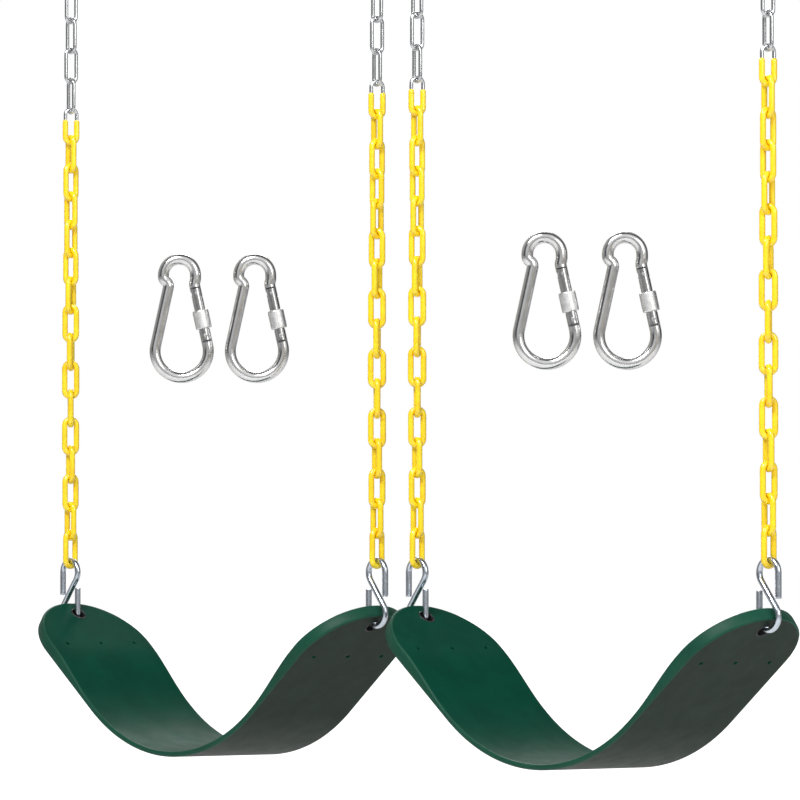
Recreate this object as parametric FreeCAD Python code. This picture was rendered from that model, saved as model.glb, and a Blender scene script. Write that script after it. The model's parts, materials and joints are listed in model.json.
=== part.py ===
"""Two belt swings hung side by side on half-dipped chain, with their four loose screw-lock carabiners.

Millimetres, +Z up. X runs along the beam that the swings hang from, Y is the swinging direction.
The origin lies midway between the swings, at the height of the lowest point of the seats.
"""
import FreeCAD
import Part

import os
from math import asin, cos, radians, sin, tan

from FreeCAD import Placement, Rotation, Vector

# ---- layout ----------------------------------------------------------------
SWING_SPACING = 590.0        # centre to centre of the two swings, along X
CARABINER_SPACING = 82.0     # between the two carabiners shown with one swing
CARABINER_RISE = 273.0       # carabiner middle above the lowest chain link
CARABINER_YAW = 49.0         # turn of the carabiners' plane about Z, degrees

# ---- running gaps ----------------------------------------------------------
LINK_GAP = 0.1               # between links of one rigid stretch of chain
HINGE_GAP = 0.3              # between wires that turn on each other

# ---- chain -----------------------------------------------------------------
LINK_WIRE = 4.0
LINK_INNER_LENGTH = 34.0
LINK_WIDTH = 17.4            # outside, bare steel
COATING = 1.1                # thickness of the vinyl dip
COATED_LINKS = 16            # the first of them is dipped only in its lower part
PLAIN_LINKS = 5              # bare links above them, the top one and the second included
DIP_LINE = 6.5               # edge of the coating above the middle of its first link
LINK_TWIST = 7.3             # steady turn of the hanging coated chain per link, degrees
FIRST_TURN = -18.0           # turn of odd links at the head of the coated chain, degrees
SECOND_TURN = 90.0           # even links stand square to odd ones

# ---- S-hook ----------------------------------------------------------------
HOOK_WIRE = 6.4
HOOK_HEIGHT = 76.0
HOOK_WIDTH = 33.0
HOOK_REACH = 42.0            # from the top or bottom of the hook to the tip of its free leg
TIP_EASE = 0.6               # chamfer round each tip

# ---- belt seat -------------------------------------------------------------
SEAT_LENGTH = 640.0          # along the curved underside, tip to tip
SEAT_WIDTH = 140.0
SEAT_BEND_RADIUS = 222.0     # of the underside
SEAT_SLOPE = 38.5            # of the straight ends, degrees
SEAT_THICKNESS = 6.0
END_THICKNESS = 14.0
END_PAD = 76.0               # length of the thick end, from the tip
PAD_TAPER = 90.0             # length over which the thick end runs out
SEAT_EDGE = 1.8              # rounding of the seat's rim
HOLE_INSET = 20.0            # hook hole to tip
HOOK_SEAT = 13.9             # middle of the hook's loop to the middle of the hole
PIN_HOLES_INSET = 72.0       # row of moulding pin holes to tip
PIN_HOLES_PITCH = 47.0
PIN_HOLE_RADIUS = 1.75
PIN_HOLE_DEPTH = 4.0

# ---- bushing and insert plate of a seat end --------------------------------
BUSHING_BORE = 14.5
BUSHING_OUTER = 18.5
BUSHING_PROUD = 0.5          # above each face of the seat
BUSHING_ROUND = 0.9
INSERT_THICKNESS = 3.0
INSERT_WIDTH = 84.0
INSERT_INSET = 9.0           # end of the plate to tip
INSERT_LENGTH = 58.0
INSERT_CORNER = 26.0

# ---- carabiner -------------------------------------------------------------
CARABINER_WIRE = 12.0
CARABINER_LENGTH = 141.0
BIG_BOW = 29.0               # centreline radius of the wide lower bow
SMALL_BOW = 17.5             # centreline radius of the upper bow
SMALL_BOW_SHIFT = 2.5        # upper bow's middle, towards the spine
LEG_LEAN = 12.3              # of the spine and of the gate, degrees
SHOULDER_RISE = 9.5          # from the shoulder to the middle of the upper bow
SHOULDER_ROUND = 6.4
BOW_STRAIGHT = 4.5           # straight run below each end of the upper bow
GATE_DIAMETER = 11.8
HINGE_ALONG = 10.5           # hinge pin above the end of the lower bow, along the gate
GATE_LENGTH = 53.4           # hinge pin to the upper end of the gate
GATE_TAIL = 5.4              # hinge pin to the lower end of the gate
GATE_EASE = 0.7              # chamfer at both ends of the gate
NOSE_GAP = 0.8               # upper end of the gate to the frame's nose
TONGUE = 4.6                 # thickness of the frame's flat ends
TONGUE_SIDE_GAP = 0.4
TONGUE_END_GAP = 1.0
HINGE_END_GAP = 1.7          # lower end of the gate to the frame, room for its corner as it turns
HINGE_TONGUE = 7.0           # upper end of the frame's lower flat end above the hinge pin
HINGE_SLOT = 13.0            # depth of the gate's lower slot above the hinge pin
NOSE_TONGUE = 11.0           # length of the frame's upper flat end
HINGE_PIN = 4.0
LATCH_PIN = 3.5
LATCH_ALONG = 47.5           # latch pin above the hinge pin
LATCH_GAP = 0.55
PIN_RUNNING_GAP = 0.05
SLEEVE_DIAMETER = 17.6
SLEEVE_LENGTH = 20.6
SLEEVE_BORE_GAP = 0.2
SLEEVE_EASE = 0.6            # chamfer at both ends of the sleeve
SLEEVE_ALONG = 8.0           # lower end of the sleeve above the hinge pin, unlocked
SPRING_WIRE = 0.8
SPRING_DIAMETER = 4.4
SPRING_LENGTH = 14.0
SPRING_PITCH = 1.75

# ---- worked out ------------------------------------------------------------
X, Y, Z = Vector(1, 0, 0), Vector(0, 1, 0), Vector(0, 0, 1)
ORIGIN = Vector(0, 0, 0)

LINK_BOW = (LINK_WIDTH - LINK_WIRE) / 2
LINK_STRAIGHT = LINK_INNER_LENGTH / 2 + LINK_WIRE / 2 - LINK_BOW
BARE_REACH = LINK_INNER_LENGTH / 2
COATED_WIRE = LINK_WIRE + 2 * COATING
COATED_REACH = BARE_REACH - COATING

HOOK_BOW = (HOOK_WIDTH - HOOK_WIRE) / 2
HOOK_HALF = HOOK_HEIGHT / 2 - HOOK_WIRE / 2 - HOOK_BOW

SLOPE = radians(SEAT_SLOPE)
BEND_LENGTH = SEAT_BEND_RADIUS * SLOPE
STRAIGHT_LENGTH = SEAT_LENGTH / 2 - BEND_LENGTH
BEND_END = Vector(SEAT_BEND_RADIUS * sin(SLOPE), 0, SEAT_BEND_RADIUS * (1 - cos(SLOPE)))
ALONG_END = Vector(cos(SLOPE), 0, sin(SLOPE))
OUT_OF_END = Vector(-sin(SLOPE), 0, cos(SLOPE))

LEAN = radians(LEG_LEAN)


def on_end(from_tip, above=0.0, sideways=0.0):
    """A point of the seat's right end, by its distance from the tip and above the underside."""
    along = STRAIGHT_LENGTH - from_tip
    return BEND_END + ALONG_END * along + OUT_OF_END * above + Y * sideways


HOLE_MIDDLE = on_end(HOLE_INSET, END_THICKNESS / 2)
HOOK_LOOP = HOLE_MIDDLE + ALONG_END * HOOK_SEAT
HOOK_MIDDLE = HOOK_LOOP + Z * HOOK_HALF
HOOK_TOP_INSIDE = HOOK_MIDDLE.z + HOOK_HEIGHT / 2 - HOOK_WIRE
LAST_LINK = HOOK_TOP_INSIDE - HINGE_GAP + COATED_REACH
LAST_LINK_BOTTOM = LAST_LINK - COATED_REACH - COATED_WIRE
CHAIN_X = HOOK_LOOP.x


# ---- helpers ---------------------------------------------------------------
def rounded_wire(points, radii):
    """Straight runs through the points, with a tangent arc of the given radius at each inner one."""
    edges, start = [], points[0]
    for before, corner, after, radius in zip(points, points[1:], points[2:], radii):
        arriving, leaving = (corner - before).normalize(), (after - corner).normalize()
        turn = arriving.getAngle(leaving)
        reach = radius * tan(turn / 2)
        first, last = corner - arriving * reach, corner + leaving * reach
        inward = (leaving - arriving).normalize()
        middle = corner + inward * (radius / cos(turn / 2) - radius)
        if (first - start).Length > 1e-6:
            edges.append(Part.LineSegment(start, first).toShape())
        edges.append(Part.Arc(first, middle, last).toShape())
        start = last
    if (points[-1] - start).Length > 1e-6:
        edges.append(Part.LineSegment(start, points[-1]).toShape())
    return Part.Wire(edges)


def round_bar(path, diameter):
    """A round bar along a wire."""
    start = path.OrderedEdges[0]
    at = start.valueAt(start.FirstParameter)
    direction = start.tangentAt(start.FirstParameter)
    section = Part.Wire([Part.makeCircle(diameter / 2, at, direction)])
    return path.makePipeShell([section], True, True)


def cylinder(diameter, low, high):
    """A cylinder between two points."""
    return Part.makeCylinder(diameter / 2, (high - low).Length, low, high - low)


def circles(shape):
    """The circular edges of a shape."""
    return [edge for edge in shape.Edges if isinstance(edge.Curve, Part.Circle)]


def slab(outline, thickness):
    """A plate in the XZ plane, centred on it."""
    corners = [Vector(x, -thickness / 2, z) for x, z in outline]
    face = Part.Face(Part.makePolygon(corners + corners[:1]))
    return face.extrude(Y * thickness)


def moved(shape, place, turn=0.0):
    """A copy turned about the Z axis, then moved."""
    copy = shape.copy()
    copy.Placement = Placement(place, Rotation(Z, turn)).multiply(copy.Placement)
    return copy


def mirrored(shape):
    """The shape reflected left to right."""
    return shape.mirror(ORIGIN, X)


# ---- chain -----------------------------------------------------------------
def link(wire):
    """One link standing upright in the XZ plane, its middle at the origin."""
    low, high = Vector(-LINK_BOW, 0, -LINK_STRAIGHT), Vector(-LINK_BOW, 0, LINK_STRAIGHT)
    halves = []
    for side in (0, 180):
        spin = Rotation(Y, side)
        halves.append(cylinder(wire, spin.multVec(low), spin.multVec(high)))
        centre = spin.multVec(Z * LINK_STRAIGHT)
        bow = Part.makeTorus(LINK_BOW, wire / 2, ORIGIN, Z, -180, 180, 180)
        bow.Placement = Placement(centre, spin.multiply(Rotation(X, 90)))
        halves.append(bow)
    return halves[0].fuse(halves[1:])


def link_turn(number):
    """Turn of a link about Z; number 0 is the first coated link, bare ones count down from -1."""
    square = 0.0 if number % 2 else SECOND_TURN
    if number >= 0:
        return FIRST_TURN + square + LINK_TWIST * number
    settled = (PLAIN_LINKS - 2 + number) / (PLAIN_LINKS - 2)
    return square + FIRST_TURN * max(0.0, settled) if number > -(PLAIN_LINKS - 1) else square


def link_height(number):
    """Height of a link's middle, counted up from the last coated one."""
    if number >= 0:
        return LAST_LINK + (COATED_LINKS - 1 - number) * (2 * COATED_REACH - LINK_GAP)
    height = link_height(0) + 2 * BARE_REACH * -number
    loose = [-1, 1 - PLAIN_LINKS, -PLAIN_LINKS]
    gaps = [HINGE_GAP if n in loose else LINK_GAP for n in range(number, 0)]
    return height - sum(gaps)


def placed_link(shape, number):
    return moved(shape, Z * link_height(number), link_turn(number))


def coating(number):
    """The vinyl skin of one coated link; the first one ends at the dip line."""
    skin = link(COATED_WIRE)
    if number == 0:
        size = LINK_WIDTH + 4 * COATING
        above = Part.makeBox(size, size, size * 3, Vector(-size / 2, -size / 2, DIP_LINE))
        skin = skin.cut(above)
    return placed_link(skin.cut(link(LINK_WIRE)), number)


def chain(name):
    """The pieces of one hanging chain, on the Z axis."""
    bare = link(LINK_WIRE)
    top = -PLAIN_LINKS
    return {
        name + "top_link": placed_link(bare, top),
        name + "second_link": placed_link(bare, top + 1),
        name + "plain_chain": Part.makeCompound([placed_link(bare, n) for n in range(top + 2, 0)]),
        name + "half_dipped_link": placed_link(bare, 0),
        name + "chain_cores": Part.makeCompound([placed_link(bare, n) for n in range(1, COATED_LINKS)]),
        name + "yellow_coating": Part.makeCompound([coating(n) for n in range(COATED_LINKS)]),
    }


# ---- S-hook ----------------------------------------------------------------
def s_hook():
    """The hook of the right chain: free upper leg outwards, free lower leg inwards, ends cut square."""
    half, bow = HOOK_HALF, HOOK_BOW
    cross = asin(bow / half)
    side, drop = bow * cos(cross), bow * sin(cross)
    straight = HOOK_REACH - HOOK_WIRE / 2 - bow
    points = [
        Vector(bow, 0, half - straight), Vector(bow, 0, half),
        Vector(0, 0, half + bow), Vector(-side, 0, half - drop),
        Vector(side, 0, drop - half), Vector(0, 0, -half - bow),
        Vector(-bow, 0, -half), Vector(-bow, 0, straight - half),
    ]
    path = Part.Wire([
        Part.LineSegment(points[0], points[1]).toShape(),
        Part.Arc(points[1], points[2], points[3]).toShape(),
        Part.LineSegment(points[3], points[4]).toShape(),
        Part.Arc(points[4], points[5], points[6]).toShape(),
        Part.LineSegment(points[6], points[7]).toShape(),
    ])
    bar = round_bar(path, HOOK_WIRE)
    ends = (points[0], points[-1])
    tips = [edge for edge in circles(bar) if min((edge.Curve.Center - end).Length for end in ends) < 0.1]
    return bar.makeChamfer(TIP_EASE, tips)


# ---- belt seat -------------------------------------------------------------
def seat_side():
    """The seat's side outline, as a face in the XZ plane: one half, then its mirror image."""
    inner_radius = SEAT_BEND_RADIUS - SEAT_THICKNESS
    arc_middle = Vector(0, 0, SEAT_BEND_RADIUS)
    top_bend_end = arc_middle + Vector(sin(SLOPE), 0, -cos(SLOPE)) * inner_radius
    half_angle = SLOPE / 2
    low = Part.Arc(ORIGIN, arc_middle + Vector(sin(half_angle), 0, -cos(half_angle)) * SEAT_BEND_RADIUS, BEND_END)
    high = Part.Arc(Z * SEAT_THICKNESS,
                    arc_middle + Vector(sin(half_angle), 0, -cos(half_angle)) * inner_radius, top_bend_end)
    ends = [
        BEND_END, on_end(0), on_end(0, END_THICKNESS), on_end(END_PAD, END_THICKNESS),
        on_end(END_PAD + PAD_TAPER, SEAT_THICKNESS), top_bend_end,
    ]
    straight = [Part.LineSegment(a, b).toShape() for a, b in zip(ends, ends[1:])]
    half = [low.toShape()] + straight + [high.toShape()]
    other = [mirrored(edge) for edge in half]
    return Part.Face(Part.Wire(Part.__sortEdges__(half + other)))


def end_rounding():
    """What is cut from the right end to make it half round in plan."""
    radius = SEAT_WIDTH / 2
    depth = END_THICKNESS * 3
    low = on_end(radius, -END_THICKNESS)
    block = Part.makeBox(radius * 2, SEAT_WIDTH * 2, depth)
    block.translate(Vector(0, -SEAT_WIDTH, 0))
    block.Placement = Placement(low, Rotation(Y, -SEAT_SLOPE)).multiply(block.Placement)
    return block.cut(Part.makeCylinder(radius, depth, low, OUT_OF_END))


def insert_plate():
    """The steel plate moulded into the right end, with the hole for the bushing."""
    low = on_end(INSERT_INSET + INSERT_LENGTH, (END_THICKNESS - INSERT_THICKNESS) / 2)
    plate = Part.makeBox(INSERT_LENGTH, INSERT_WIDTH, INSERT_THICKNESS, Vector(0, -INSERT_WIDTH / 2, 0))
    upright = [edge for edge in plate.Edges if abs(edge.tangentAt(0).z) > 0.9 and edge.CenterOfMass.x > 1]
    plate = plate.makeFillet(INSERT_CORNER, upright)
    plate.Placement = Placement(low, Rotation(Y, -SEAT_SLOPE)).multiply(plate.Placement)
    return plate.cut(bushing_space())


def bushing_space():
    low = on_end(HOLE_INSET, -BUSHING_PROUD)
    high = on_end(HOLE_INSET, END_THICKNESS + BUSHING_PROUD)
    return cylinder(BUSHING_OUTER, low, high)


def bushing():
    """The wear ring that lines the right hook hole."""
    body = bushing_space()
    low = on_end(HOLE_INSET, -END_THICKNESS)
    high = on_end(HOLE_INSET, END_THICKNESS * 2)
    ring = body.cut(cylinder(BUSHING_BORE, low, high))
    rims = [edge for edge in ring.Edges if edge.Closed and isinstance(edge.Curve, Part.Circle)]
    bore_rims = [edge for edge in rims if edge.Curve.Radius < BUSHING_OUTER / 2 - 0.1]
    return ring.makeFillet(BUSHING_ROUND, bore_rims)


def pin_holes():
    """The row of small blind holes across the right end, on both faces."""
    holes = []
    for sideways in (-PIN_HOLES_PITCH, 0, PIN_HOLES_PITCH):
        for face, depth in ((0, PIN_HOLE_DEPTH), (END_THICKNESS, -PIN_HOLE_DEPTH)):
            start = on_end(PIN_HOLES_INSET, face - depth, sideways)
            holes.append(cylinder(PIN_HOLE_RADIUS * 2, start, on_end(PIN_HOLES_INSET, face + depth, sideways)))
    return holes


def belt_seat():
    side = seat_side()
    side.translate(Y * (-SEAT_WIDTH / 2))
    body = side.extrude(Y * SEAT_WIDTH)
    body = body.cut([end_rounding(), mirrored(end_rounding())])
    rim = [edge for edge in body.Edges if on_rim(edge)]
    body = body.makeFillet(SEAT_EDGE, rim)
    right = [bushing_space(), insert_plate()] + pin_holes()
    return body.cut(right + [mirrored(shape) for shape in right])


def on_rim(edge):
    """Whether an edge runs round the outline, not straight across the seat or through its thickness."""
    if isinstance(edge.Curve, Part.Circle):
        return True
    heading = edge.tangentAt(edge.FirstParameter)
    side = 1 if edge.CenterOfMass.x > 0 else -1
    through = Vector(OUT_OF_END.x * side, 0, OUT_OF_END.z)
    return abs(heading.dot(Y)) < 0.9 and abs(heading.dot(through)) < 0.9


# ---- carabiner -------------------------------------------------------------
# In its own XZ plane, middle at the origin: spine on the left, gate on the right.
BIG_MIDDLE = Vector(0, 0, BIG_BOW + CARABINER_WIRE / 2 - CARABINER_LENGTH / 2)
SMALL_MIDDLE = Vector(-SMALL_BOW_SHIFT, 0, CARABINER_LENGTH / 2 - CARABINER_WIRE / 2 - SMALL_BOW)
GATE_UP = Vector(-sin(LEAN), 0, cos(LEAN))
GATE_OUT = Vector(cos(LEAN), 0, sin(LEAN))
HINGE = BIG_MIDDLE + GATE_OUT * BIG_BOW + GATE_UP * HINGE_ALONG
NOSE = GATE_LENGTH + NOSE_GAP


def on_gate(up, out=0.0):
    """A point by its distance above the hinge pin along the gate, and outwards from its axis."""
    return HINGE + GATE_UP * up + GATE_OUT * out


def gate_block(low, high, thickness, inner, outer):
    """A block along the gate's axis, centred on the carabiner's plane."""
    corners = [on_gate(low, inner), on_gate(low, outer), on_gate(high, outer), on_gate(high, inner)]
    return slab([(corner.x, corner.z) for corner in corners], thickness)


def carabiner_frame():
    """The bent bar, with a flat end for the hinge and a notched flat nose for the latch pin."""
    shoulder = SMALL_MIDDLE.z - SHOULDER_RISE
    along = (shoulder - HINGE.z) / GATE_UP.z
    neck = on_gate(along)
    spine = Vector(-neck.x, 0, neck.z)
    left, right = SMALL_MIDDLE.x - SMALL_BOW, SMALL_MIDDLE.x + SMALL_BOW
    top, bottom = SMALL_MIDDLE.z + SMALL_BOW, BIG_MIDDLE.z - BIG_BOW
    corner = on_gate((bottom - HINGE.z) / GATE_UP.z).x
    bow_end = SMALL_MIDDLE.z - BOW_STRAIGHT
    points = [
        on_gate(NOSE - NOSE_TONGUE), neck, Vector(right, 0, bow_end),
        Vector(right, 0, top), Vector(left, 0, top),
        Vector(left, 0, bow_end), spine,
        Vector(-corner, 0, bottom), Vector(corner, 0, bottom), on_gate(HINGE_TONGUE),
    ]
    radii = [SHOULDER_ROUND, SHOULDER_ROUND, SMALL_BOW - 0.01, SMALL_BOW - 0.01,
             SHOULDER_ROUND, SHOULDER_ROUND, BIG_BOW - 0.01, BIG_BOW - 0.01]
    bar = round_bar(rounded_wire(points, radii), CARABINER_WIRE)
    wide = CARABINER_WIRE
    cheeks = []
    for low, high in ((-GATE_TAIL - HINGE_END_GAP, 2 * wide), (LATCH_ALONG / 2, NOSE)):
        block = gate_block(low, high, wide * 2, -wide, wide)
        cheeks.append(block.cut(gate_block(low - 1, high + 1, TONGUE, -wide, wide)))
    notch = cylinder(LATCH_PIN + 2 * LATCH_GAP, on_gate(LATCH_ALONG) - Y * wide, on_gate(LATCH_ALONG) + Y * wide)
    half = LATCH_PIN / 2 + LATCH_GAP
    mouth = gate_block(LATCH_ALONG - half, LATCH_ALONG + half, wide, -wide, 0)
    return bar.cut(cheeks + [notch, mouth, hinge_bore(HINGE_PIN)])


def hinge_bore(diameter):
    return cylinder(diameter, HINGE - Y * CARABINER_WIRE, HINGE + Y * CARABINER_WIRE)


def gate():
    """The gate bar, forked at both ends, and the latch pin across its upper fork."""
    wide = CARABINER_WIRE
    slot = TONGUE + 2 * TONGUE_SIDE_GAP
    bar = cylinder(GATE_DIAMETER, on_gate(-GATE_TAIL), on_gate(GATE_LENGTH))
    bar = bar.makeChamfer(GATE_EASE, circles(bar))
    slots = [
        gate_block(-GATE_TAIL - 1, HINGE_SLOT, slot, -wide, wide),
        gate_block(NOSE - NOSE_TONGUE - TONGUE_END_GAP, GATE_LENGTH + 1, slot, -wide, wide),
    ]
    spring_bore = cylinder(SPRING_DIAMETER + 0.4, on_gate(HINGE_SLOT - 1), on_gate(HINGE_SLOT + SPRING_LENGTH))
    at = on_gate(LATCH_ALONG)
    reach = GATE_DIAMETER / 2 - 0.1
    pin_bore = cylinder(LATCH_PIN, at - Y * wide, at + Y * wide)
    bar = bar.cut(slots + [spring_bore, hinge_bore(HINGE_PIN + 2 * PIN_RUNNING_GAP), pin_bore])
    return Part.makeCompound([bar, cylinder(LATCH_PIN, at - Y * reach, at + Y * reach)])


def gate_pin():
    """The hinge pin, a fit in the frame's flat end."""
    reach = GATE_DIAMETER / 2 - 0.1
    return cylinder(HINGE_PIN, HINGE - Y * reach, HINGE + Y * reach)


def gate_spring():
    """The coil spring in the gate, which presses on the frame's flat end."""
    radius = (SPRING_DIAMETER - SPRING_WIRE) / 2
    length = SPRING_LENGTH - SPRING_WIRE - 0.3
    coil = Part.makeHelix(SPRING_PITCH, length, radius)
    section = Part.Wire([Part.makeCircle(SPRING_WIRE / 2, Vector(radius, 0, 0), Y)])
    spring = Part.Wire(coil.Edges).makePipeShell([section], True, True)
    low = on_gate(HINGE_SLOT + SPRING_WIRE / 2)
    spring.Placement = Placement(low, Rotation(Y, -LEG_LEAN))
    return spring


def lock_sleeve():
    """The knurled screw sleeve, resting in its unlocked place near the hinge."""
    low, high = on_gate(SLEEVE_ALONG), on_gate(SLEEVE_ALONG + SLEEVE_LENGTH)
    outside = cylinder(SLEEVE_DIAMETER, low, high)
    outside = outside.makeChamfer(SLEEVE_EASE, circles(outside))
    return outside.cut(cylinder(GATE_DIAMETER + 2 * SLEEVE_BORE_GAP, low, high))


def carabiner():
    return {
        "frame": carabiner_frame(), "gate": gate(), "gate_pin": gate_pin(),
        "gate_spring": gate_spring(), "lock_sleeve": lock_sleeve(),
    }


# ---- assembly --------------------------------------------------------------
def swing():
    """One swing, its middle on the Z axis."""
    pieces = {"belt_seat": belt_seat()}
    ends = {"insert_plate": insert_plate(), "bushing": bushing()}
    hook = moved(s_hook(), HOOK_MIDDLE)
    for side in ("left", "right"):
        turn = mirrored if side == "left" else lambda shape: shape
        for piece, shape in ends.items():
            pieces[side + "_" + piece] = turn(shape)
        pieces[side + "_s_hook"] = turn(hook)
        place = X * (CHAIN_X if side == "right" else -CHAIN_X)
        for piece, shape in chain(side + "_").items():
            pieces[piece] = moved(shape, place)
    return pieces


def whole_set():
    """All the nodes, by name."""
    nodes = {}
    one_swing, one_carabiner = swing(), carabiner()
    height = Z * (LAST_LINK_BOTTOM + CARABINER_RISE)
    apart = Rotation(Z, CARABINER_YAW).multVec(X) * CARABINER_SPACING
    for name, side in (("a", -0.5), ("b", 0.5)):
        middle = X * SWING_SPACING * side
        for piece, shape in one_swing.items():
            nodes["swing_" + name + "_" + piece] = moved(shape, middle)
        for number, step in ((1, -0.5), (2, 0.5)):
            place = middle + height + apart * step
            for piece, shape in one_carabiner.items():
                nodes["carabiner_" + name + str(number) + "_" + piece] = moved(shape, place, CARABINER_YAW)
    return nodes


os.makedirs("parts", exist_ok=True)
for node, node_shape in whole_set().items():
    node_shape.exportStep("parts/" + node + ".step")
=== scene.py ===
"""Looks of two belt swings on vinyl-dipped chain, with four loose screw-lock carabiners.

Metres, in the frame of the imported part. Each visible CAD node is replaced by a finer mesh in the
same place, which takes its sizes from that node's box.
"""

import json
from math import asin, ceil, cos, pi, radians, sin, tan

import bmesh
import bpy
import numpy as np
from mathutils import Matrix, Vector

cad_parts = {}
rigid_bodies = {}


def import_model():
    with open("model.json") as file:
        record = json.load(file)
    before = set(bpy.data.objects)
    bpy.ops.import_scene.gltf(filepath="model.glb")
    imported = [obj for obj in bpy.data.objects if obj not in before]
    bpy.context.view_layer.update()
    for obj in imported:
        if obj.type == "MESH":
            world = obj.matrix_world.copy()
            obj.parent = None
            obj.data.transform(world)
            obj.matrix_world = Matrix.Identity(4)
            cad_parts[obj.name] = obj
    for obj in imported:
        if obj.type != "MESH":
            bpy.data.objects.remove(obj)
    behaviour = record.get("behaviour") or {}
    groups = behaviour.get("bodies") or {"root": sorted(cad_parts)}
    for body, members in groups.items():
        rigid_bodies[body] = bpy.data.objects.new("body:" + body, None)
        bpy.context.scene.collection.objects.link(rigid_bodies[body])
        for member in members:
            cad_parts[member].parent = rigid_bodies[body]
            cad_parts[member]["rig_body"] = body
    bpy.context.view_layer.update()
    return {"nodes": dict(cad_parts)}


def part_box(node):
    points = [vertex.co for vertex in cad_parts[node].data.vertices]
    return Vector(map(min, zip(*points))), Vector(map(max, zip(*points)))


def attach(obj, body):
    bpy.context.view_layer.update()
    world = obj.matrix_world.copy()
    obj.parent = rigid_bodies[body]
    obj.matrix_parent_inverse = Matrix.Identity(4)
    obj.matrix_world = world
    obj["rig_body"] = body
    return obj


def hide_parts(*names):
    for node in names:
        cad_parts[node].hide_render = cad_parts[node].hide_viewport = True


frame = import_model()

MM = 0.001

# ---- sizes that the nodes' boxes don't give ---------------------------------
LINK_TWIST = radians(7.3)        # steady turn of the coated chain per link
FIRST_TURN = radians(-18.0)      # turn of odd links at the head of the coated chain
PLAIN_LINKS = 5
COATED_LINKS = 16
COATING = 1.1 * MM
LINK_GAP = 0.1 * MM
HINGE_GAP = 0.3 * MM
DIP_LINE = 6.5 * MM

SEAT_LENGTH = 640.0 * MM         # along the curved underside
SEAT_BEND_RADIUS = 222.0 * MM
SEAT_SLOPE = radians(38.5)
SEAT_THICKNESS = 6.0 * MM
END_THICKNESS = 14.0 * MM
END_PAD = 76.0 * MM
PAD_TAPER = 90.0 * MM
HOLE_INSET = 20.0 * MM
PIN_HOLES_INSET = 72.0 * MM
PIN_HOLES_PITCH = 47.0 * MM
PIN_HOLE_RADIUS = 1.75 * MM
PIN_HOLE_DEPTH = 4.0 * MM
PIN_HOLE_RIM = 0.8 * MM          # depth of the eased mouth
BUSHING_BORE = 14.5 * MM
BUSHING_OUTER = 18.5 * MM
BUSHING_PROUD = 0.5 * MM
HOOK_REACH = 42.0 * MM
TIP_EASE = 0.6 * MM

BIG_BOW = 29.0 * MM
SMALL_BOW = 17.5 * MM
SMALL_BOW_SHIFT = 2.5 * MM
LEG_LEAN = radians(12.3)
SHOULDER_RISE = 9.5 * MM
SHOULDER_ROUND = 6.4 * MM
BOW_STRAIGHT = 4.5 * MM
GATE_DIAMETER = 11.8 * MM
HINGE_ALONG = 10.5 * MM
GATE_LENGTH = 53.4 * MM
GATE_TAIL = 5.4 * MM
NOSE_GAP = 0.8 * MM
TONGUE = 4.6 * MM
TONGUE_SIDE_GAP = 0.4 * MM
TONGUE_END_GAP = 1.0 * MM
HINGE_END_GAP = 1.7 * MM
HINGE_TONGUE = 7.0 * MM
HINGE_SLOT = 13.0 * MM
NOSE_TONGUE = 11.0 * MM
HINGE_PIN = 4.0 * MM
LATCH_PIN = 3.5 * MM
LATCH_ALONG = 47.5 * MM
LATCH_GAP = 0.55 * MM
SLEEVE_DIAMETER = 17.6 * MM
SLEEVE_LENGTH = 20.6 * MM
SLEEVE_BORE = 12.2 * MM
SLEEVE_ALONG = 8.0 * MM
CARABINER_YAW = radians(49.0)

# ---- small details of the drawn meshes --------------------------------------
WELD_HALF_LENGTH = 1.6 * MM
WELD_PROUD = 0.09                # share of the wire's radius
DRAINED_PROUD = 0.035            # share of the coated radius, in a link's lower bow
DIP_TAPER = 2.2 * MM
DIP_SHARE = 0.97                 # of the skin that tapers; the rest ends bluntly
BELT_EDGE = 2.4 * MM             # rounding of the belt's rim
BUSHING_LIP = 1.4 * MM
CARABINER_WIRE = 12.0 * MM
GATE_EASE = 0.7 * MM
CUT_SPARE = 1.0 * MM             # that a cutter reaches past what it cuts
CUT_FIT = 0.1 * MM               # difference of a cutter from what stands in its cut
RIVET_SUNK = 0.1 * MM
RIVET_DOME = 0.15 * MM
KNURL_DEPTH = 0.28 * MM
KNURL_DIAMONDS = 46
PLAIN_END = 1.3 * MM             # of the sleeve, beside its knurl
END_SUNK = 0.3 * MM
SLEEVE_CHAMFER = 0.5 * MM
SLEEVE_SHOULDER = 1.1 * MM

# ---- fineness ---------------------------------------------------------------
BARE_SIDES, COATED_SIDES, HOOK_SIDES, CARABINER_SIDES = 20, 22, 24, 40
LINK_BOW_STEPS, LINK_LEG_STEPS, HOOK_BOW_STEPS = 18, 8, 30
HOOK_STEP, CARABINER_STEP = 2.0 * MM, 1.6 * MM
BELT_ROWS, BELT_END_STEPS, BELT_ACROSS, BELT_RIM_STEPS = 161, 48, 24, 16
BORE_SIDES, PIN_HOLE_SIDES, BUSHING_SIDES, RIVET_SIDES = 48, 20, 56, 32
DOME_STEPS = 7
SLEEVE_AROUND, SLEEVE_ROWS = 184, 72
HALF_COAT_STEPS, GATE_STEPS, LIP_STEPS = 14, 30, 8
MERGE_DISTANCE = 1e-6
NOISE_ROUGHNESS = 0.55

# ---- camera -----------------------------------------------------------------
VIEW_TURN = radians(49.0)        # of the camera round the swings
VIEW_DISTANCE = 6.5
SOFTBOX_TURN = radians(25.0)     # of the brightest side, to the right of the camera
LOOK_UP = radians(1.568095)      # puts the horizon under the middle of the view
LOOK_RIGHT = radians(0.027836)   # from the line to the middle of the scene
LENS = 277.875                   # millimetres, as is the sensor's width
SENSOR = 36.0
FLOOR_DROP = 0.45                # below the lowest point of the belts
FLOOR_REACH = 60.0

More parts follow.
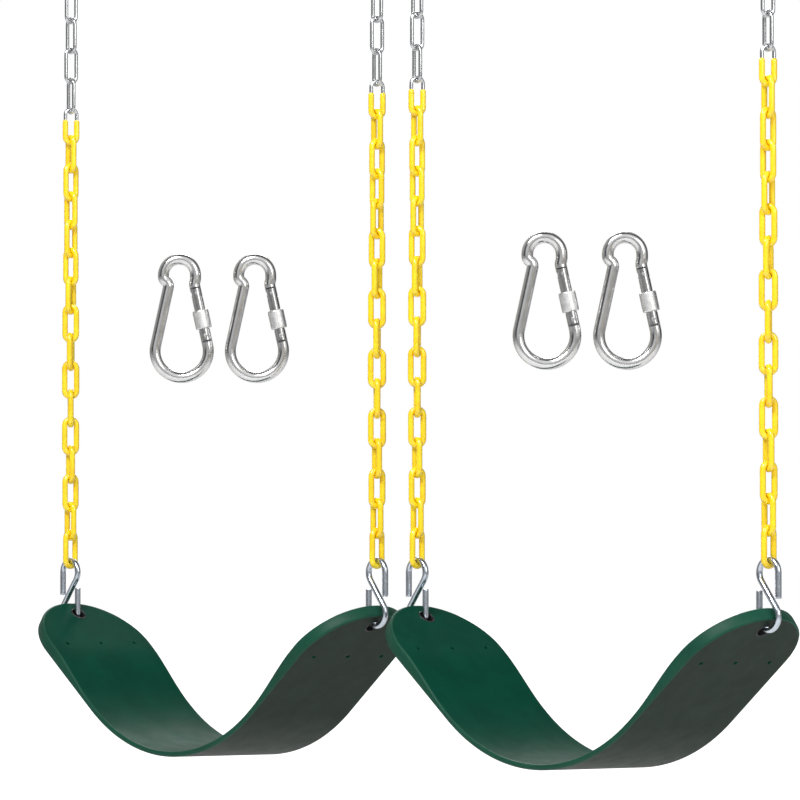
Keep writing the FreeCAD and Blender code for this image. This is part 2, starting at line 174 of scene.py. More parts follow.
# ---- studio: place and grey of the bands that reflections show --------------
SIDE_BANDS = [(0.0, 0.62), (0.30, 0.40), (0.40, 0.34), (0.50, 0.16), (0.57, 0.04),
              (0.68, 0.05), (0.77, 0.80), (0.90, 1.0), (1.0, 0.85)]     # away to the softbox
HEIGHT_BANDS = [(0.0, 0.95), (0.44, 0.85), (0.50, 0.60), (0.62, 0.90), (1.0, 1.0)]
STUDIO_STRENGTH = 0.85


# ---- meshes -----------------------------------------------------------------
def new_object(name, points, faces, material, smooth=True):
    """A mesh object from arrays of points and faces."""
    mesh = bpy.data.meshes.new(name)
    mesh.from_pydata([tuple(p) for p in points], [], [tuple(f) for f in faces])
    mesh.materials.append(material)
    face_out(mesh)
    mesh.polygons.foreach_set("use_smooth", [smooth] * len(mesh.polygons))
    made = bpy.data.objects.new(name, mesh)
    bpy.context.scene.collection.objects.link(made)
    return made


def face_out(mesh):
    """Turns every face to look out of its solid."""
    edited = bmesh.new()
    edited.from_mesh(mesh)
    bmesh.ops.recalc_face_normals(edited, faces=edited.faces)
    edited.to_mesh(mesh)
    edited.free()


def arc(centre, radius, start, end, steps):
    """Points of an arc in the XZ plane; angles from +X towards +Z."""
    angles = np.linspace(start, end, steps)
    return [np.array((centre[0] + radius * cos(a), 0.0, centre[1] + radius * sin(a)))
            for a in angles]


def tube(path, radii, sides, closed=False):
    """Points and faces of a round bar along a path in the XZ plane; open ends are closed flat."""
    path = np.array(path)
    count = len(path)
    if closed:
        ahead = np.roll(path, -1, 0) - np.roll(path, 1, 0)
    else:
        ahead = np.gradient(path, axis=0)
    ahead /= np.linalg.norm(ahead, axis=1)[:, None]
    side = np.array((0.0, 1.0, 0.0))
    out = np.cross(ahead, side)
    angles = np.linspace(0, 2 * pi, sides, endpoint=False)
    radii = np.broadcast_to(radii, (count,))
    across = (np.cos(angles)[None, :, None] * out[:, None, :]
              + np.sin(angles)[None, :, None] * side)
    rings = path[:, None, :] + radii[:, None, None] * across
    points = rings.reshape(-1, 3)
    faces = []
    for i in range(count if closed else count - 1):
        a, b = i * sides, (i + 1) % count * sides
        for j in range(sides):
            k = (j + 1) % sides
            faces.append((a + j, a + k, b + k, b + j))
    if not closed:
        faces.append(tuple(range(sides)))
        faces.append(tuple(reversed(range((count - 1) * sides, count * sides))))
    return points, faces


def joined(parts):
    """One set of points and faces from several."""
    points, faces, start = [], [], 0
    for part_points, part_faces in parts:
        points.append(np.asarray(part_points))
        faces += [tuple(i + start for i in face) for face in part_faces]
        start += len(part_points)
    return np.vstack(points), faces


def placed(part, place, turn=0.0, mirror=False):
    """Points and faces turned about Z, mirrored left to right if asked, and moved."""
    points, faces = part
    points = np.array(points)
    if mirror:
        points = points * np.array((-1.0, 1.0, 1.0))
        faces = [face[::-1] for face in faces]
    c, s = cos(turn), sin(turn)
    spin = np.array(((c, s, 0), (-s, c, 0), (0, 0, 1)))
    return points @ spin + np.array(place), faces


def blunt(path, radius, ease):
    """A path and its radii for a bar cut square at both ends, with a small chamfer."""
    path = np.array(path)
    ends = []
    for tip, inner in ((path[0], path[1]), (path[-1], path[-2])):
        inward = (inner - tip) / np.linalg.norm(inner - tip)
        ends.append([(tip, radius - ease), (tip + inward * ease * 0.35, radius - ease * 0.3),
                     (tip + inward * ease, radius)])
    head, tail = ends[0], ends[1][::-1]
    points = [p for p, r in head] + list(path[1:-1]) + [p for p, r in tail]
    radii = [r for p, r in head] + [radius] * (len(path) - 2) + [r for p, r in tail]
    return np.array(points), np.array(radii)


def rounded_path(points, radii, step):
    """Straight runs with tangent arcs at the inner points, sampled about every step."""
    points = [np.array((x, 0.0, z)) for x, z in points]
    path, start = [], points[0]
    for before, corner, after, radius in zip(points, points[1:], points[2:], radii):
        arriving = (corner - before) / np.linalg.norm(corner - before)
        leaving = (after - corner) / np.linalg.norm(after - corner)
        turn = np.arccos(np.clip(arriving @ leaving, -1, 1))
        reach = radius * tan(turn / 2)
        first, last = corner - arriving * reach, corner + leaving * reach
        path += run(start, first, step)
        inward = (leaving - arriving) / np.linalg.norm(leaving - arriving)
        centre = corner + inward * radius / cos(turn / 2)
        steps = max(3, ceil(radius * turn / step))
        for i in range(steps):
            t = i / steps
            blend = sin((1 - t) * turn) * (first - centre) + sin(t * turn) * (last - centre)
            path.append(centre + blend / sin(turn))
        start = last
    path += run(start, points[-1], step)
    path.append(points[-1])
    return path


def run(start, end, step):
    """Points from start up to, but not including, end."""
    length = np.linalg.norm(end - start)
    if length < MERGE_DISTANCE:
        return []
    steps = max(1, ceil(length / step))
    return [start + (end - start) * i / steps for i in range(steps)]


def cut(body, cutters):
    """Takes the cutters out of the body and deletes them."""
    for cutter in cutters:
        modifier = body.modifiers.new("cut", "BOOLEAN")
        modifier.operation = "DIFFERENCE"
        modifier.solver = "EXACT"
        modifier.object = cutter
    graph = bpy.context.evaluated_depsgraph_get()
    made = bpy.data.meshes.new_from_object(body.evaluated_get(graph))
    body.modifiers.clear()
    old, body.data = body.data, made
    bpy.data.meshes.remove(old)
    for cutter in cutters:
        bpy.data.objects.remove(cutter)


def soften(body, angle=35.0):
    """Welds doubled points, and shades smoothly all but the edges sharper than the angle."""
    mesh = bmesh.new()
    mesh.from_mesh(body.data)
    bmesh.ops.remove_doubles(mesh, verts=mesh.verts, dist=MERGE_DISTANCE)
    bmesh.ops.dissolve_degenerate(mesh, edges=mesh.edges, dist=MERGE_DISTANCE)
    mesh.to_mesh(body.data)
    mesh.free()
    body.data.polygons.foreach_set("use_smooth", [True] * len(body.data.polygons))
    body.data.set_sharp_from_angle(angle=radians(angle))


# ---- materials --------------------------------------------------------------
def material(name, color, metallic, roughness):
    """A principled material, its node tree and its shader."""
    made = bpy.data.materials.new(name)
    made.use_nodes = True
    shader = made.node_tree.nodes["Principled BSDF"]
    shader.inputs["Base Color"].default_value = (*color, 1)
    shader.inputs["Metallic"].default_value = metallic
    shader.inputs["Roughness"].default_value = roughness
    return made, made.node_tree, shader


def node(tree, kind, **values):
    """A shader node with its properties and inputs set."""
    made = tree.nodes.new(kind)
    for key, value in values.items():
        if hasattr(made, key):
            setattr(made, key, value)
        else:
            made.inputs[key.replace("_", " ")].default_value = value
    return made


def noise_node(tree, scale, detail):
    """A noise texture in object space."""
    place = tree.nodes.new("ShaderNodeTexCoord")
    made = node(tree, "ShaderNodeTexNoise", Scale=scale, Detail=detail, Roughness=NOISE_ROUGHNESS)
    tree.links.new(place.outputs["Object"], made.inputs["Vector"])
    return made


def ramp(tree, source, stops, output="Fac"):
    """A colour ramp fed by a node."""
    made = tree.nodes.new("ShaderNodeValToRGB")
    ends = made.color_ramp.elements
    while len(ends) < len(stops):
        ends.new(0.5)
    for end, (place, color) in zip(ends, stops):
        end.position = place
        end.color = (*color, 1) if len(color) == 3 else color
    tree.links.new(source.outputs[output], made.inputs["Fac"])
    return made


def spread(tree, source, low, high):
    """Maps a noise's 0 to 1 to a range."""
    made = node(tree, "ShaderNodeMapRange")
    made.inputs["To Min"].default_value = low
    made.inputs["To Max"].default_value = high
    tree.links.new(source.outputs["Fac"], made.inputs["Value"])
    return made


def cloudy(tree, shader, scale, detail, dark, light):
    """Feeds the base colour with clouds between two colours."""
    tint = ramp(tree, noise_node(tree, scale, detail), [(0.3, dark), (0.7, light)])
    tree.links.new(tint.outputs["Color"], shader.inputs["Base Color"])


def uneven(tree, shader, scale, detail, low, high):
    """Feeds the roughness with clouds between two values."""
    rough = spread(tree, noise_node(tree, scale, detail), low, high)
    tree.links.new(rough.outputs["Result"], shader.inputs["Roughness"])


def bump(tree, shader, layers):
    """Chains bump nodes, each from a (scale, detail, strength, distance) layer of noise."""
    last = None
    for scale, detail, strength, distance in layers:
        made = node(tree, "ShaderNodeBump", Strength=strength, Distance=distance)
        tree.links.new(noise_node(tree, scale, detail).outputs["Fac"], made.inputs["Height"])
        if last:
            tree.links.new(last.outputs["Normal"], made.inputs["Normal"])
        last = made
    tree.links.new(last.outputs["Normal"], shader.inputs["Normal"])


def zinc(name, color, roughness):
    """Zinc plate or plain steel: faintly cloudy and slightly uneven."""
    made, tree, shader = material(name, color, 1.0, roughness)
    cloudy(tree, shader, 90.0, 4.0, [c * 0.88 for c in color], [c * 1.06 for c in color])
    uneven(tree, shader, 260.0, 3.0, roughness * 0.7, roughness * 1.5)
    bump(tree, shader, [(180.0, 2.0, 0.025, 0.0004), (1800.0, 2.0, 0.012, 0.0001)])
    return made


def chrome(name, shade):
    """Polished plate with faint ripples and haze."""
    made, tree, shader = material(name, (shade,) * 3, 1.0, 0.09)
    uneven(tree, shader, 120.0, 4.0, 0.12, 0.24)
    cloudy(tree, shader, 60.0, 3.0, (shade * 0.9,) * 3, (shade * 1.06,) * 3)
    bump(tree, shader, [(160.0, 2.0, 0.06, 0.0005), (1500.0, 2.0, 0.03, 0.0001)])
    return made


def knurl_metal():
    """Satin metal of the knurled sleeve."""
    made, tree, shader = material("knurled_sleeve", (0.86, 0.86, 0.86), 1.0, 0.38)
    uneven(tree, shader, 400.0, 3.0, 0.32, 0.5)
    cloudy(tree, shader, 200.0, 3.0, (0.78, 0.78, 0.78), (0.92, 0.92, 0.92))
    bump(tree, shader, [(2500.0, 2.0, 0.15, 0.0002)])
    return made


def vinyl():
    """Yellow dipped vinyl: glossy, with a clear skin and slow ripples."""
    made, tree, shader = material("yellow_vinyl", (1.0, 0.67, 0.006), 0.0, 0.22)
    cloudy(tree, shader, 70.0, 3.0, (0.97, 0.63, 0.005), (1.0, 0.76, 0.012))
    uneven(tree, shader, 180.0, 3.0, 0.16, 0.32)
    shader.inputs["Coat Weight"].default_value = 0.9
    shader.inputs["Coat Roughness"].default_value = 0.12
    bump(tree, shader, [(220.0, 2.0, 0.20, 0.0007), (1200.0, 2.0, 0.05, 0.0003)])
    return made


def rubber(name, color, gloss, grain):
    """Moulded rubber: a fine grain, faint clouds of colour and uneven sheen."""
    made, tree, shader = material(name, color, 0.0, 0.5)
    shader.inputs["Specular IOR Level"].default_value = gloss
    cloudy(tree, shader, 25.0, 4.0, [c * 0.86 for c in color], [c * 1.12 for c in color])
    uneven(tree, shader, 60.0, 4.0, 0.40, 0.58)
    bump(tree, shader, [(900.0, 3.0, grain, 0.0004), (120.0, 3.0, 0.08, 0.0010)])
    return made


def black_plastic():
    """Satin black moulding of the wear rings."""
    made, tree, shader = material("black_bushing", (0.012, 0.012, 0.013), 0.0, 0.4)
    uneven(tree, shader, 300.0, 3.0, 0.3, 0.5)
    bump(tree, shader, [(1200.0, 2.0, 0.15, 0.0002)])
    return made


ZINC = zinc("zinc_chain", (0.66, 0.67, 0.68), 0.20)
HOOK_ZINC = zinc("zinc_hook", (0.60, 0.65, 0.72), 0.22)
PLAIN_STEEL = zinc("plain_steel", (0.55, 0.55, 0.56), 0.35)
CUT_STEEL = zinc("cut_steel", (0.26, 0.26, 0.27), 0.40)
CHROME = chrome("carabiner_chrome", 0.76)
GATE_CHROME = chrome("gate_chrome", 0.50)
KNURL = knurl_metal()
VINYL = vinyl()
RUBBER = rubber("green_rubber", (0.0025, 0.050, 0.030), 0.022, 0.25)
# Lighter, glossier copy of the same rubber for the rounded rim: a painted highlight where the edges
# catch the light.
RIM_PAINTED_HIGHLIGHT_RUBBER = rubber("green_rubber_rim_painted_highlight", (0.004, 0.062, 0.036), 0.24, 0.4)
# Darker, greyer copy of the same rubber for the underside: painted shade, with a painted greyish
# sheen.
UNDER_PAINTED_SHADE_RUBBER = rubber("green_rubber_underside_painted_shade", (0.012, 0.024, 0.016), 0.12, 0.35)
BLACK = black_plastic()


# ---- chain ------------------------------------------------------------------
def racetrack(bow, straight):
    """The closed middle line of a link: two bows and two legs."""
    leg = np.linspace(-straight, straight, LINK_LEG_STEPS)[1:-1]
    right = [np.array((bow, 0.0, z)) for z in leg]
    left = [np.array((-bow, 0.0, z)) for z in -leg]
    return (right + arc((0, straight), bow, 0, pi, LINK_BOW_STEPS)
            + left + arc((0, -straight), bow, pi, 2 * pi, LINK_BOW_STEPS))


def bare_link(bow, straight, wire):
    """A zinc link with a faint weld bead half way up one leg."""
    path = np.array(racetrack(bow, straight))
    weld = np.exp(-(path[:, 2] / WELD_HALF_LENGTH) ** 2) * (path[:, 0] > bow * 0.9)
    return tube(path, wire / 2 * (1 + WELD_PROUD * weld), BARE_SIDES, closed=True)


def coated_link(bow, straight, wire):
    """A dipped link: the vinyl is a little fuller in its lower bow, where it drained."""
    path = np.array(racetrack(bow, straight))
    low = np.clip((-path[:, 2] - straight) / bow, 0, 1)
    return tube(path, wire / 2 * (1 + DRAINED_PROUD * low), COATED_SIDES, closed=True)


def half_coat(bow, straight, wire, core, dip):
    """The skin of the first dipped link: legs that taper to the steel at the dip line."""
    leg = [np.array((-bow, 0.0, z)) for z in np.linspace(dip, -straight, HALF_COAT_STEPS)[:-1]]
    other = [np.array((bow, 0.0, p[2])) for p in reversed(leg)]
    path = np.array(leg + arc((0, -straight), bow, pi, 2 * pi, LINK_BOW_STEPS) + other)
    taper = np.clip((dip - path[:, 2]) / DIP_TAPER, 0, 1)
    skin = DIP_SHARE * np.sqrt(1 - (1 - taper) ** 2) + 1 - DIP_SHARE
    return tube(path, core / 2 + (wire - core) / 2 * skin, COATED_SIDES)


def chain(prefix):
    """Replaces one chain's nodes, all but the steel hidden in the vinyl."""
    low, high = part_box(prefix + "top_link")
    x = (low.x + high.x) / 2
    wire = high.y - low.y
    bow = (high.x - low.x - wire) / 2
    inner = (high.z - low.z) / 2 - wire
    straight = inner + wire / 2 - bow
    coated_wire = wire + 2 * COATING
    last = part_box(prefix + "yellow_coating")[0].z + inner - COATING + coated_wire
    pitch = 2 * (inner - COATING) - LINK_GAP
    bare = bare_link(bow, straight, wire)
    coat = coated_link(bow, straight, coated_wire)

    def height(number):
        if number >= 0:
            return last + (COATED_LINKS - 1 - number) * pitch
        loose = (-1, 1 - PLAIN_LINKS, -PLAIN_LINKS)
        gaps = sum(HINGE_GAP if n in loose else LINK_GAP for n in range(number, 0))
        return height(0) - number * 2 * inner - gaps

    def turn(number):
        square = 0.0 if number % 2 else pi / 2
        if number >= 0:
            return FIRST_TURN + square + LINK_TWIST * number
        if number <= 1 - PLAIN_LINKS:
            return square
        return square + FIRST_TURN * (PLAIN_LINKS - 2 + number) / (PLAIN_LINKS - 2)

    def at(part, number):
        return placed(part, (x, 0, height(number)), turn(number))

    rows = {
        "top_link": ([-PLAIN_LINKS], bare, ZINC, "zinc_chain"),
        "second_link": ([1 - PLAIN_LINKS], bare, ZINC, "zinc_chain"),
        "plain_chain": (range(2 - PLAIN_LINKS, 0), bare, ZINC, "zinc_chain"),
        "half_dipped_link": ([0], bare, ZINC, "zinc_chain"),
        "yellow_coating": (range(1, COATED_LINKS), coat, VINYL, "yellow_vinyl"),
    }
    for name, (numbers, part, look, slot) in rows.items():
        parts = [at(part, n) for n in numbers]
        if name == "yellow_coating":
            parts.append(at(half_coat(bow, straight, coated_wire, wire, DIP_LINE), 0))
        piece = new_object("fine_" + prefix + name, *joined(parts), look)
        stand_in(piece, prefix + name)
    recolor(prefix + "chain_cores", ZINC)


def body_named(node_name):
    """The body that a CAD node belongs to."""
    return frame["nodes"][node_name]["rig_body"]


def stand_in(piece, node_name):
    """The piece takes the place of a CAD node, on the same body."""
    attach(piece, body_named(node_name))
    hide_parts(node_name)


def recolor(node_name, look):
    """Gives a CAD node that stays a new material."""
    slots = frame["nodes"][node_name].data.materials
    slots.clear()
    slots.append(look)


# ---- S-hook -----------------------------------------------------------------
def s_hook(prefix, outward):
    """The bent hook; outward is +1 on a right chain and -1 on a left one."""
    low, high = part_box(prefix + "s_hook")
    wire = high.y - low.y
    bow = (high.x - low.x - wire) / 2
    half = (high.z - low.z) / 2 - wire / 2 - bow
    cross = asin(bow / half)
    straight = HOOK_REACH - wire / 2 - bow
    upper = arc((0, half), bow, 0, pi + cross, HOOK_BOW_STEPS)
    lower = arc((0, -half), bow, cross, -pi, HOOK_BOW_STEPS)
    start, end = np.array((bow, 0.0, half - straight)), np.array((-bow, 0.0, straight - half))
    path = run(start, upper[0], HOOK_STEP) + upper
    path += run(upper[-1], lower[0], HOOK_STEP)[1:] + lower
    path += run(lower[-1], end, HOOK_STEP)[1:] + [end]
    points, radii = blunt(path, wire / 2, TIP_EASE)
    part = placed(tube(points, radii, HOOK_SIDES), (low + high) / 2, mirror=outward < 0)
    hook = new_object("fine_" + prefix + "s_hook", *part, HOOK_ZINC)
    hook.data.set_sharp_from_angle(angle=radians(35))
    stand_in(hook, prefix + "s_hook")


# ---- belt seat --------------------------------------------------------------
def seat_line(s):
    """Underside point and upward normal at a developed distance from the seat's middle."""
    bend = SEAT_BEND_RADIUS * SEAT_SLOPE
    side = 1.0 if s >= 0 else -1.0
    turn = min(abs(s) / SEAT_BEND_RADIUS, SEAT_SLOPE)
    x, z = SEAT_BEND_RADIUS * sin(turn), SEAT_BEND_RADIUS * (1 - cos(turn))
    rest = max(0.0, abs(s) - bend)
    x, z = x + rest * cos(turn), z + rest * sin(turn)
    return np.array((side * x, 0.0, z)), np.array((-side * sin(turn), 0.0, cos(turn)))


def seat_thickness(s):
    """Thickness of the belt at a developed distance from its middle."""
    from_tip = SEAT_LENGTH / 2 - abs(s)
    t = np.clip((from_tip - END_PAD) / PAD_TAPER, 0, 1)
    return END_THICKNESS + (SEAT_THICKNESS - END_THICKNESS) * t * t * (3 - 2 * t)


def seat_point(s, y, share):
    """A point of the belt: share runs from 0 on the underside to 1 on top."""
    place, normal = seat_line(s)
    return place + normal * seat_thickness(s) * share + np.array((0.0, y, 0.0))


def seat_rays(width):
    """Lines in plan from the seat's spine to its rim: along both sides and round both ends."""
    radius = width / 2
    reach = SEAT_LENGTH / 2 - radius
    rows = np.linspace(-reach, reach, BELT_ROWS)
    rays = [((s, 0.0), (0.0, 1.0)) for s in rows]
    turns = np.linspace(0, pi, BELT_END_STEPS + 1)[1:-1]
    rays += [((reach, 0.0), (sin(t), cos(t))) for t in turns]
    rays += [((s, 0.0), (0.0, -1.0)) for s in rows[::-1]]
    rays += [((-reach, 0.0), (-sin(t), -cos(t))) for t in turns]
    return rays


def belt_mesh(width):
    """The belt with its rounded rim: points, faces and each face's look.

    Looks are 0 on the sitting side, 1 on the rim and 2 on the underside. The rim's look is a
    lighter copy of the same rubber, a painted highlight, and the underside's a darker, greyer one,
    painted shade and sheen.
    """
    edge = BELT_EDGE
    flat = width / 2 - edge
    shares = [i / BELT_ACROSS for i in range(1, BELT_ACROSS + 1)]
    rays = seat_rays(width)
    rim = [pi / 2 - pi * i / BELT_RIM_STEPS for i in range(1, BELT_RIM_STEPS)]
    points, columns, spine = [], [], {}

    def vertex(point):
        points.append(point)
        return len(points) - 1

    for start, heading in rays:
        column = []
        for side in (1.0, 0.0):
            key = (round(start[0], 6), side)
            if key not in spine:
                spine[key] = vertex(seat_point(start[0], 0.0, side))
        column.append(spine[(round(start[0], 6), 1.0)])
        for share in shares:
            s, y = start[0] + heading[0] * flat * share, heading[1] * flat * share
            column.append(vertex(seat_point(s, y, 1.0)))
        for angle in rim:
            out = flat + edge * cos(angle)
            s, y = start[0] + heading[0] * out, heading[1] * out
            thick = seat_thickness(s)
            height = (thick - edge if angle > 0 else edge) + edge * sin(angle)
            if abs(angle) < 1e-9:
                height = thick / 2
            column.append(vertex(seat_point(s, y, height / thick)))
        for share in reversed(shares):
            s, y = start[0] + heading[0] * flat * share, heading[1] * flat * share
            column.append(vertex(seat_point(s, y, 0.0)))
        column.append(spine[(round(start[0], 6), 0.0)])
        columns.append(column)
    faces, looks = [], []
    for one, two in zip(columns, columns[1:] + columns[:1]):
        for place, corners in enumerate(zip(one, one[1:], two[1:], two)):
            kept = [v for i, v in enumerate(corners) if v not in corners[:i]]
            if len(kept) > 2:
                faces.append(kept[::-1])
                # rim faces get the painted-highlight rubber, underside faces the painted-shade
                # rubber
                looks.append((place >= len(shares)) + (place > len(shares) + len(rim)))
    return np.array(points), faces, looks


def round_bar(low, high, radius, sides=BORE_SIDES, top=None):
    """A closed cylinder or cone between two points."""
    low, high = Vector(low), Vector(high)
    mesh = bmesh.new()
    bmesh.ops.create_cone(mesh, cap_ends=True, segments=sides, radius1=radius,
                          radius2=radius if top is None else top, depth=(high - low).length)
    turn = (high - low).to_track_quat("Z", "Y").to_matrix().to_4x4()
    bmesh.ops.transform(mesh, matrix=Matrix.Translation((low + high) / 2) @ turn, verts=mesh.verts)
    data = bpy.data.meshes.new("cutter")
    mesh.to_mesh(data)
    mesh.free()
    made = bpy.data.objects.new("cutter", data)
    bpy.context.scene.collection.objects.link(made)
    return made


def lathe(profile, axis_point, axis, sides):
    """Points and faces of a closed ring: profile pairs are radius and height along the axis."""
    turn = np.array(Vector(axis).to_track_quat("Z", "Y").to_matrix())
    points, faces, count = [], [], len(profile)
    for i in range(sides):
        a = 2 * pi * i / sides
        for radius, height in profile:
            spot = np.array((radius * cos(a), radius * sin(a), height))
            points.append(turn @ spot + np.array(axis_point))
    for i in range(sides):
        for j in range(count):
            a, b = i * count + j, i * count + (j + 1) % count
            c, d = (i + 1) % sides * count + (j + 1) % count, (i + 1) % sides * count + j
            faces.append((a, d, c, b))
    return np.array(points), faces


def seat(swing):
    """Belt and bushings of one swing."""
    low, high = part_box(swing + "belt_seat")
    middle = np.array(((low.x + high.x) / 2, 0.0, low.z))
    points, faces, looks = belt_mesh(high.y - low.y)
    belt = new_object("fine_" + swing + "belt_seat", points + middle, faces, RUBBER)
    # Second and third slots: lighter rim rubber as painted highlight, darker underside rubber as
    # painted shade and sheen.
    belt.data.materials.append(RIM_PAINTED_HIGHLIGHT_RUBBER)
    belt.data.materials.append(UNDER_PAINTED_SHADE_RUBBER)
    belt.data.polygons.foreach_set("material_index", looks)
    cutters = []

    def drill(s, y, inner, outer, radius, **shape):
        """A cutter through the belt between two shares of its thickness."""
        cutters.append(round_bar(middle + seat_point(s, y, inner),
                                 middle + seat_point(s, y, outer), radius, **shape))

    depth, rim = PIN_HOLE_DEPTH / END_THICKNESS, PIN_HOLE_RIM / END_THICKNESS
    for side in (-1, 1):
        hole = side * (SEAT_LENGTH / 2 - HOLE_INSET)
        drill(hole, 0, -0.5, 1.5, BUSHING_OUTER / 2)
        row = side * (SEAT_LENGTH / 2 - PIN_HOLES_INSET)
        for y in (-PIN_HOLES_PITCH, 0.0, PIN_HOLES_PITCH):
            for face, way in ((0.0, 1.0), (1.0, -1.0)):
                drill(row, y, face + way * depth, face - way * depth, PIN_HOLE_RADIUS,
                      sides=PIN_HOLE_SIDES)
                drill(row, y, face + way * rim, face - way * rim, PIN_HOLE_RADIUS - CUT_FIT,
                      sides=PIN_HOLE_SIDES, top=PIN_HOLE_RADIUS + 2 * PIN_HOLE_RIM)
        bushing(swing + ("right_" if side > 0 else "left_") + "bushing", middle, hole)
    cut(belt, cutters)
    soften(belt)
    stand_in(belt, swing + "belt_seat")


def bushing(name, middle, hole):
    """The black wear ring with rolled mouths."""
    inner, outer = BUSHING_BORE / 2, BUSHING_OUTER / 2
    mid, wide = (inner + outer) / 2, (outer - inner) / 2
    half = END_THICKNESS / 2 + BUSHING_PROUD
    profile = []
    for way in (1, -1):
        for t in np.linspace(0, pi, LIP_STEPS + 1):
            height = half - BUSHING_LIP + BUSHING_LIP * sin(t)
            profile.append((mid + way * wide * cos(t), way * height))
    normal = seat_line(hole)[1]
    points, faces = lathe(profile, middle + seat_point(hole, 0, 0.5), normal, BUSHING_SIDES)
    stand_in(new_object("fine_" + name, points, faces, BLACK), name)


# ---- carabiner --------------------------------------------------------------
class Carabiner:
    """One carabiner's own plane: x to the gate's side, z up, middle at the origin."""

    def __init__(self, prefix):
        low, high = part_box(prefix + "frame")
        self.prefix, self.middle = prefix, (low + high) / 2
        self.length = high.z - low.z
        self.big = np.array((0.0, 0.0, BIG_BOW + CARABINER_WIRE / 2 - self.length / 2))
        self.small = np.array((-SMALL_BOW_SHIFT, 0.0,
                               self.length / 2 - CARABINER_WIRE / 2 - SMALL_BOW))
        self.up = np.array((-sin(LEG_LEAN), 0.0, cos(LEG_LEAN)))
        self.out = np.array((cos(LEG_LEAN), 0.0, sin(LEG_LEAN)))
        self.hinge = self.big + self.out * BIG_BOW + self.up * HINGE_ALONG

    def on_gate(self, up, out=0.0, side=0.0):
        """A point measured from the hinge along the gate, across it and sideways."""
        return self.hinge + self.up * up + self.out * out + np.array((0.0, side, 0.0))

    def place(self, piece):
        """Turns and moves a piece made in the carabiner's plane to its place."""
        turn = Matrix.Translation(self.middle) @ Matrix.Rotation(CARABINER_YAW, 4, "Z")
        piece.data.transform(turn)
        return piece

    def block(self, low, high, inner, outer, thickness):
        """A cutting block along the gate's axis."""
        corners = []
        for side in (-thickness / 2, thickness / 2):
            for up, out in ((low, inner), (low, outer), (high, outer), (high, inner)):
                corners.append(self.on_gate(up, out, side))
        faces = [(3, 2, 1, 0), (4, 5, 6, 7), (0, 1, 5, 4), (1, 2, 6, 5), (2, 3, 7, 6), (3, 0, 4, 7)]
        made = new_object("cutter", corners, [f[::-1] for f in faces], CHROME, False)
        made.data.materials.append(CUT_STEEL)
        made.data.polygons.foreach_set("material_index", [1] * len(faces))
        return made

    def cross_bar(self, up, diameter, reach):
        """A round cutter across the gate."""
        return round_bar(self.on_gate(up, 0, -reach), self.on_gate(up, 0, reach), diameter / 2,
                         sides=RIVET_SIDES)

    def frame_piece(self):
        """The bent bar, with a flat tongue at the hinge and a slotted one at the nose."""
        wide, nose = CARABINER_WIRE, GATE_LENGTH + NOSE_GAP
        shoulder = self.small[2] - SHOULDER_RISE
        neck = self.on_gate((shoulder - self.hinge[2]) / self.up[2])
        left, right = self.small[0] - SMALL_BOW, self.small[0] + SMALL_BOW
        top, bottom = self.small[2] + SMALL_BOW, self.big[2] - BIG_BOW
        corner = self.on_gate((bottom - self.hinge[2]) / self.up[2])[0]
        bow_end = self.small[2] - BOW_STRAIGHT
        start, end = self.on_gate(nose - NOSE_TONGUE), self.on_gate(HINGE_TONGUE)
        points = [(start[0], start[2]), (neck[0], neck[2]), (right, bow_end), (right, top),
                  (left, top), (left, bow_end), (-neck[0], neck[2]), (-corner, bottom),
                  (corner, bottom), (end[0], end[2])]
        radii = [SHOULDER_ROUND, SHOULDER_ROUND, SMALL_BOW, SMALL_BOW,
                 SHOULDER_ROUND, SHOULDER_ROUND, BIG_BOW, BIG_BOW]
        path = rounded_path(points, radii, CARABINER_STEP)
        bar = new_object("fine_" + self.prefix + "frame",
                         *tube(path, wide / 2, CARABINER_SIDES), CHROME)
        bar.data.materials.append(CUT_STEEL)
        cutters = []
        for low, high in ((-GATE_TAIL - HINGE_END_GAP, 2 * wide), (LATCH_ALONG / 2, nose)):
            for side in (-1, 1):
                piece = self.block(low, high, -wide, wide, wide)
                piece.data.transform(Matrix.Translation((0, side * (wide + TONGUE) / 2, 0)))
                cutters.append(piece)
        half = LATCH_PIN / 2 + LATCH_GAP
        cutters.append(self.cross_bar(LATCH_ALONG, 2 * half, wide))
        cutters.append(self.block(LATCH_ALONG - half, LATCH_ALONG + half, -wide, 0, wide))
        cutters.append(self.cross_bar(0, HINGE_PIN, wide))
        cut(bar, cutters)
        soften(self.place(bar), 32)
        stand_in(bar, self.prefix + "frame")

    def gate_piece(self):
        """The gate bar, forked over both tongues, with its latch pin and hinge pin."""
        wide, slot = CARABINER_WIRE, TONGUE + 2 * TONGUE_SIDE_GAP
        radius, ease = GATE_DIAMETER / 2, GATE_EASE
        levels = [(-GATE_TAIL, radius - ease), (-GATE_TAIL + ease, radius)]
        shaft = np.linspace(-GATE_TAIL + ease, GATE_LENGTH - ease, GATE_STEPS)[1:]
        levels += [(z, radius) for z in shaft]
        levels.append((GATE_LENGTH, radius - ease))
        path = [self.on_gate(z) for z, r in levels]
        bar = new_object("fine_" + self.prefix + "gate",
                         *tube(path, [r for z, r in levels], CARABINER_SIDES), GATE_CHROME)
        bar.data.materials.append(CUT_STEEL)
        nose = GATE_LENGTH + NOSE_GAP
        cutters = [
            self.block(-GATE_TAIL - CUT_SPARE, HINGE_SLOT, -wide, wide, slot),
            self.block(nose - NOSE_TONGUE - TONGUE_END_GAP, GATE_LENGTH + CUT_SPARE,
                       -wide, wide, slot),
            self.cross_bar(0, HINGE_PIN + CUT_FIT, wide),
        ]
        cut(bar, cutters)
        pin = self.rivet(LATCH_ALONG, LATCH_PIN, "latch")
        merge(bar, pin)
        soften(self.place(bar), 32)
        stand_in(bar, self.prefix + "gate")
        hinge = self.rivet(0, HINGE_PIN, "fine_" + self.prefix + "gate_pin")
        soften(self.place(hinge), 40)
        stand_in(hinge, self.prefix + "gate_pin")

